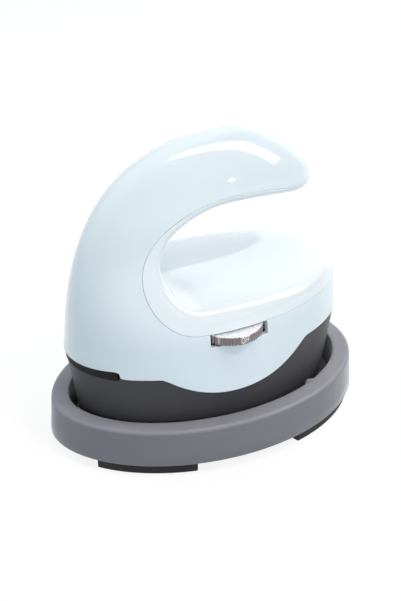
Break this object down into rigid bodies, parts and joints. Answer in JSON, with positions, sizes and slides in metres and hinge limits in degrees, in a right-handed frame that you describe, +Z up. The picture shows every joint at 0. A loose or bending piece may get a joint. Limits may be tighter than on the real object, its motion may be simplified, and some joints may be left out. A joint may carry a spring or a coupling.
{
  "type": "mini handheld heat press",
  "caption": "Small electric heat press with a C-shaped grip over an oval heated plate, resting in an open oval stand, with a thumbwheel for the heat.",
  "frame": {"origin": "on the floor under the middle of the stand", "axes": "+X towards the round heel, -Y towards the heat dial, +Z up"},
  "size_m": [0.1322, 0.088, 0.1218],
  "materials": {
    "tray_grey": "fine matte moulded plastic",
    "foot_rubber": "satin rubber",
    "pad_silicone": "matte silicone",
    "plate_metal": "cast, machined underside",
    "steel": "plain steel",
    "ceramic": "unglazed ceramic",
    "mica": "pressed insulation board",
    "shield_charcoal": "satin heat-resistant moulding",
    "frame_black": "satin black moulding",
    "shell_blue": "smooth gloss",
    "cover_white": "smooth gloss",
    "dial_silver": "knurled, satin silver",
    "board_green": "printed circuit board",
    "part_black": "moulded component body",
    "part_blue": "component body",
    "terminal_white": "moulded terminal block",
    "gland_rubber": "matte rubber",
    "wire_brown": "wire insulation",
    "wire_blue": "wire insulation",
    "wire_earth": "wire insulation",
    "wire_sleeve": "glass-fibre sleeving",
    "fuse_glass": "sleeved thermal fuse"
  },
  "bodies": {
    "stand": {"stand_tray": "tray_grey", "foot_near_tip": "foot_rubber", "foot_far_tip": "foot_rubber", "foot_near_heel": "foot_rubber", "foot_far_heel": "foot_rubber", "rest_pads": "pad_silicone"},
    "press": {"heat_plate": "plate_metal", "heating_element": "steel", "element_clamps": "steel", "clamp_screws": "steel", "ceramic_beads": "ceramic", "temperature_sensor": "plate_metal", "thermal_fuse": "fuse_glass", "plate_spacers": "steel", "plate_screws": "steel", "insulation_board": "mica", "heat_shield_skirt": "shield_charcoal", "inner_frame": "frame_black", "cord_gland": "gland_rubber", "cord_clamp": "part_black", "cord_clamp_screws": "steel", "rotary_switch": "part_black", "control_board": "board_green", "board_screws": "steel", "power_relay": "part_blue", "smoothing_capacitor": "part_black", "terminal_block": "terminal_white", "live_wire": "wire_brown", "neutral_wire": "wire_blue", "earth_wire": "wire_earth", "element_leads": "wire_sleeve", "body_shell": "shell_blue", "grip_cover": "cover_white", "cover_screws": "steel", "shell_screws": "steel"},
    "dial": {"dial_wheel": "dial_silver", "dial_spindle": "steel"}
  },
  "joints": [
    {"name": "press_lift", "type": "slide", "parent": "stand", "child": "press", "axis": [0, 0, 1], "range_m": [0, 0.08]},
    {"name": "dial_turn", "type": "hinge", "parent": "press", "child": "dial", "pos_m": [-0.0014, -0.02462, 0.0534], "axis": [0, 0, 1], "range_deg": [0, 135]}
  ]
}
